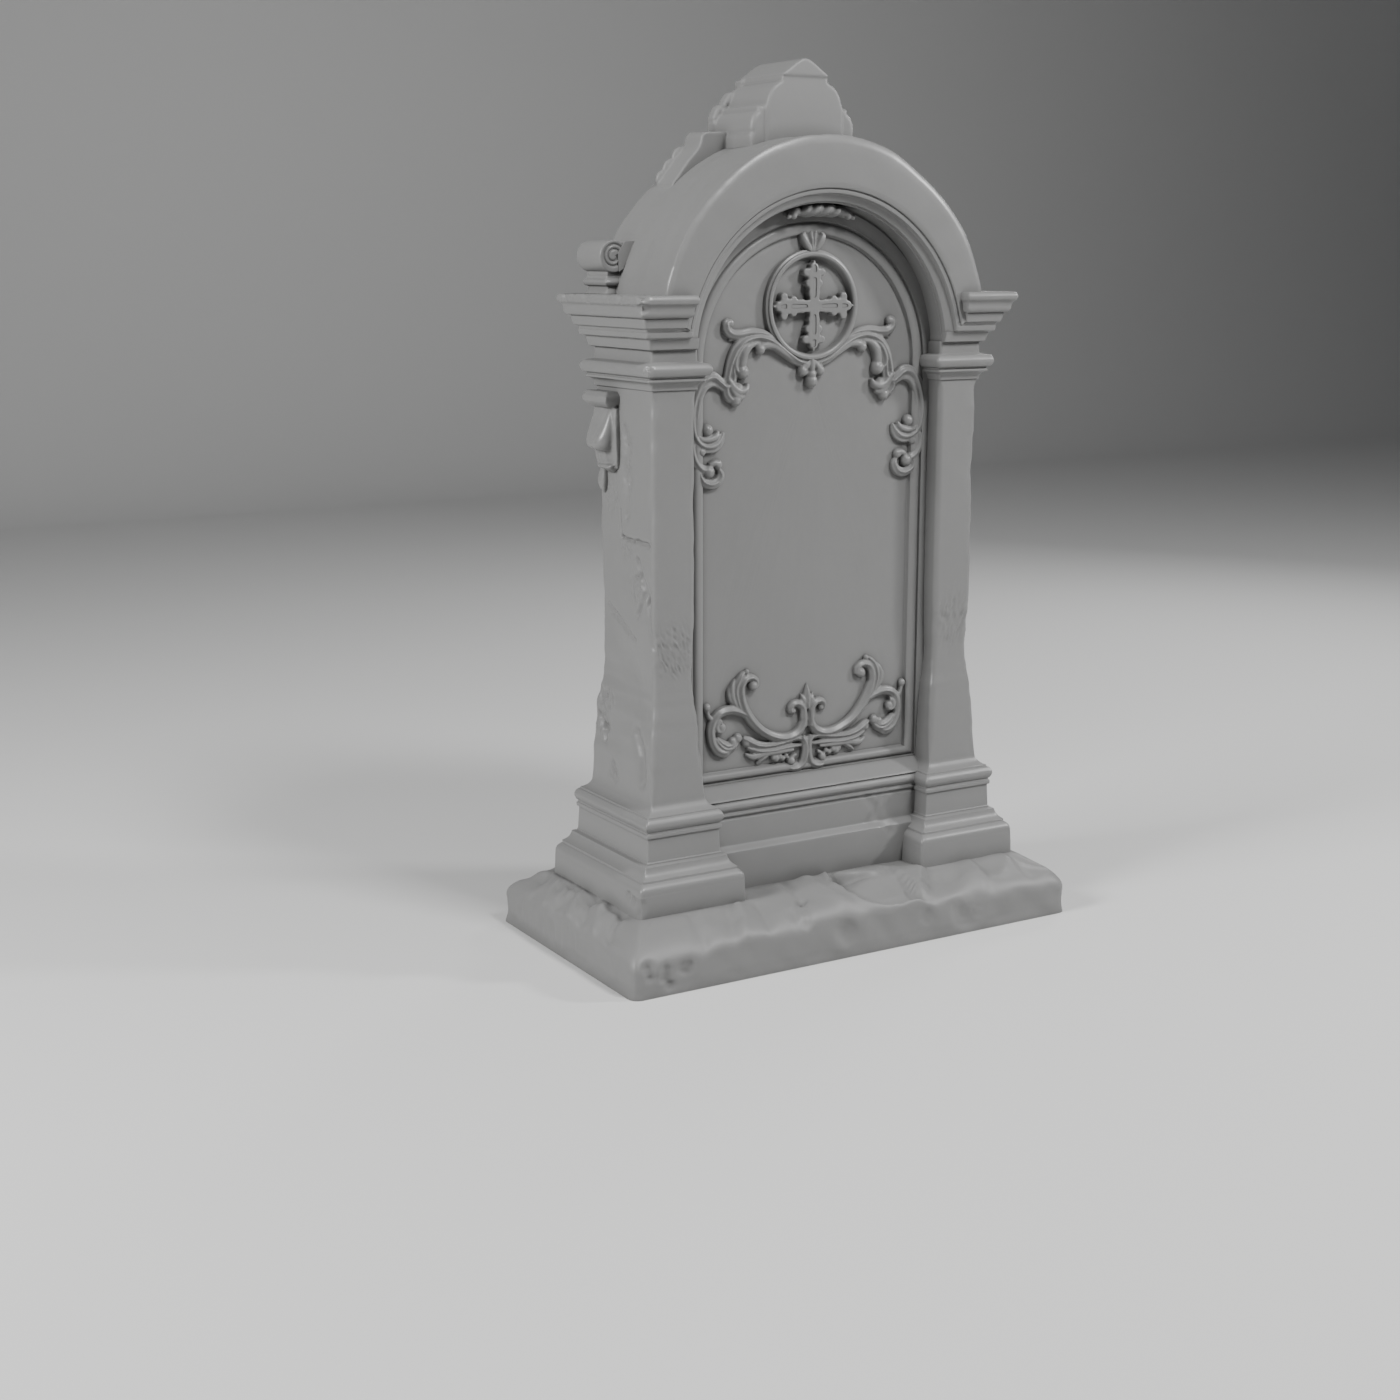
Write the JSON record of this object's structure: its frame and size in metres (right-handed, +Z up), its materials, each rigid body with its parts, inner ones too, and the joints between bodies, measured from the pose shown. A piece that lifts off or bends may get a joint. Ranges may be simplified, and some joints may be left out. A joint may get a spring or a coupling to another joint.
{
  "type": "headstone",
  "caption": "Upright carved headstone: round arch on moulded pilasters, sunk panel with a ringed cross and scrollwork, crest on top, rough-topped slab below.",
  "frame": {"origin": "middle of the slab's underside", "axes": "+Z up, front (the carved panel) towards -Y, +X to the right seen from the front"},
  "size_m": [1, 0.54, 1.646],
  "materials": {
    "stone": "fine-rubbed grey stone, slightly glossy, worn edges"
  },
  "bodies": {
    "root": {"base_slab": "stone", "stele": "stone", "crest": "stone"}
  },
  "joints": []
}
